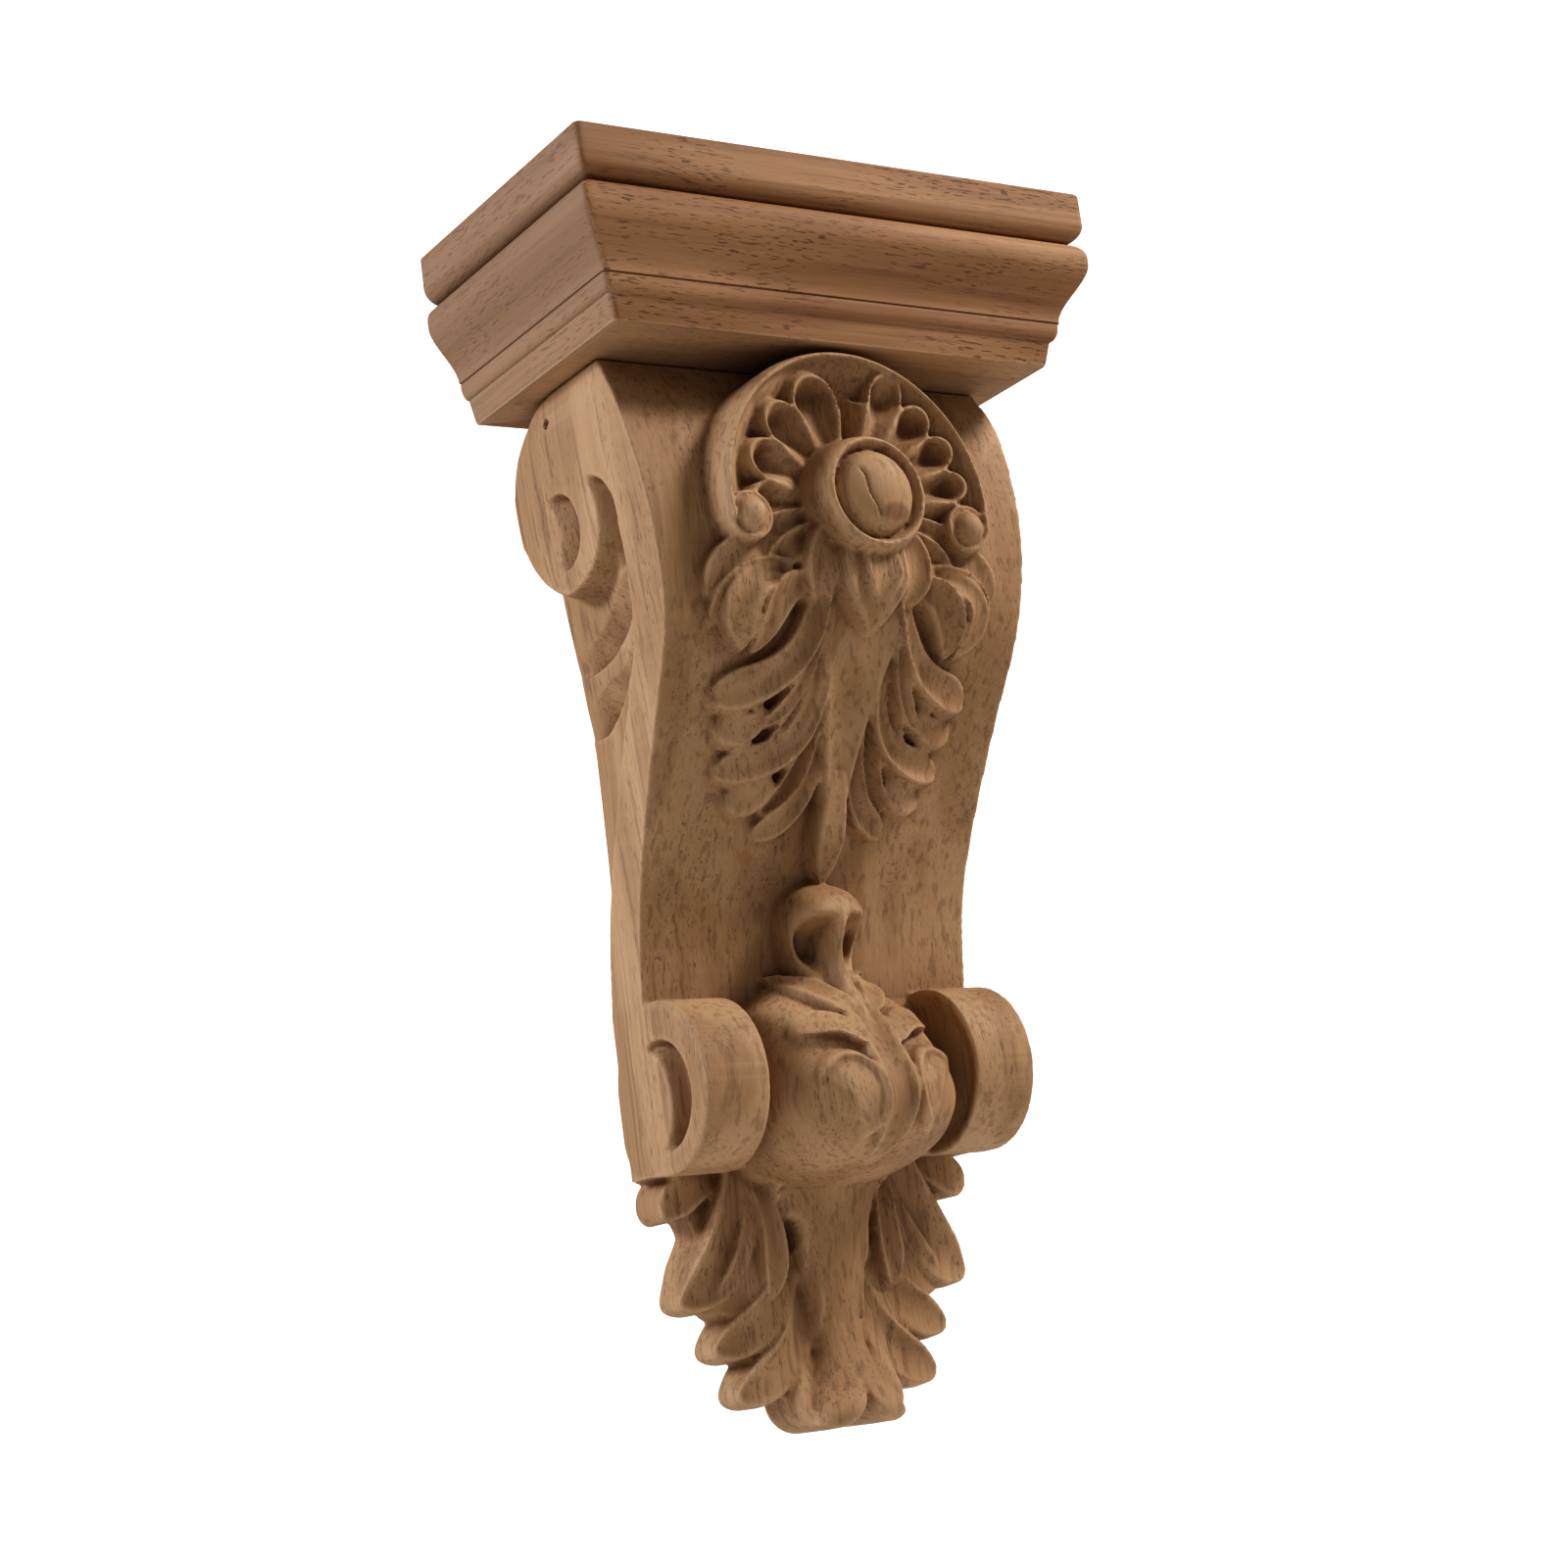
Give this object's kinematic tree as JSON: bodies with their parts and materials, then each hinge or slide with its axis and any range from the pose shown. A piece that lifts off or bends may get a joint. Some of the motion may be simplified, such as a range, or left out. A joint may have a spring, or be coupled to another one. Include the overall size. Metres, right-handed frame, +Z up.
{
  "type": "carved wood corbel",
  "caption": "Carved wooden corbel: a moulded cap over an S-scroll body with a half shell and button, acanthus leaves, side volutes and a leafy tail.",
  "frame": {"origin": "middle of the corbel's height on the flat back, where it is fixed to the wall", "axes": "+X to the right seen from the front, +Y into the wall, +Z up"},
  "size_m": [0.15, 0.082, 0.3026],
  "materials": {
    "cap_wood": "sanded bare hardwood",
    "body_wood": "sanded bare hardwood, hand carved"
  },
  "bodies": {
    "root": {"top_board": "cap_wood", "moulded_board": "cap_wood", "carved_body": "body_wood"}
  },
  "joints": []
}
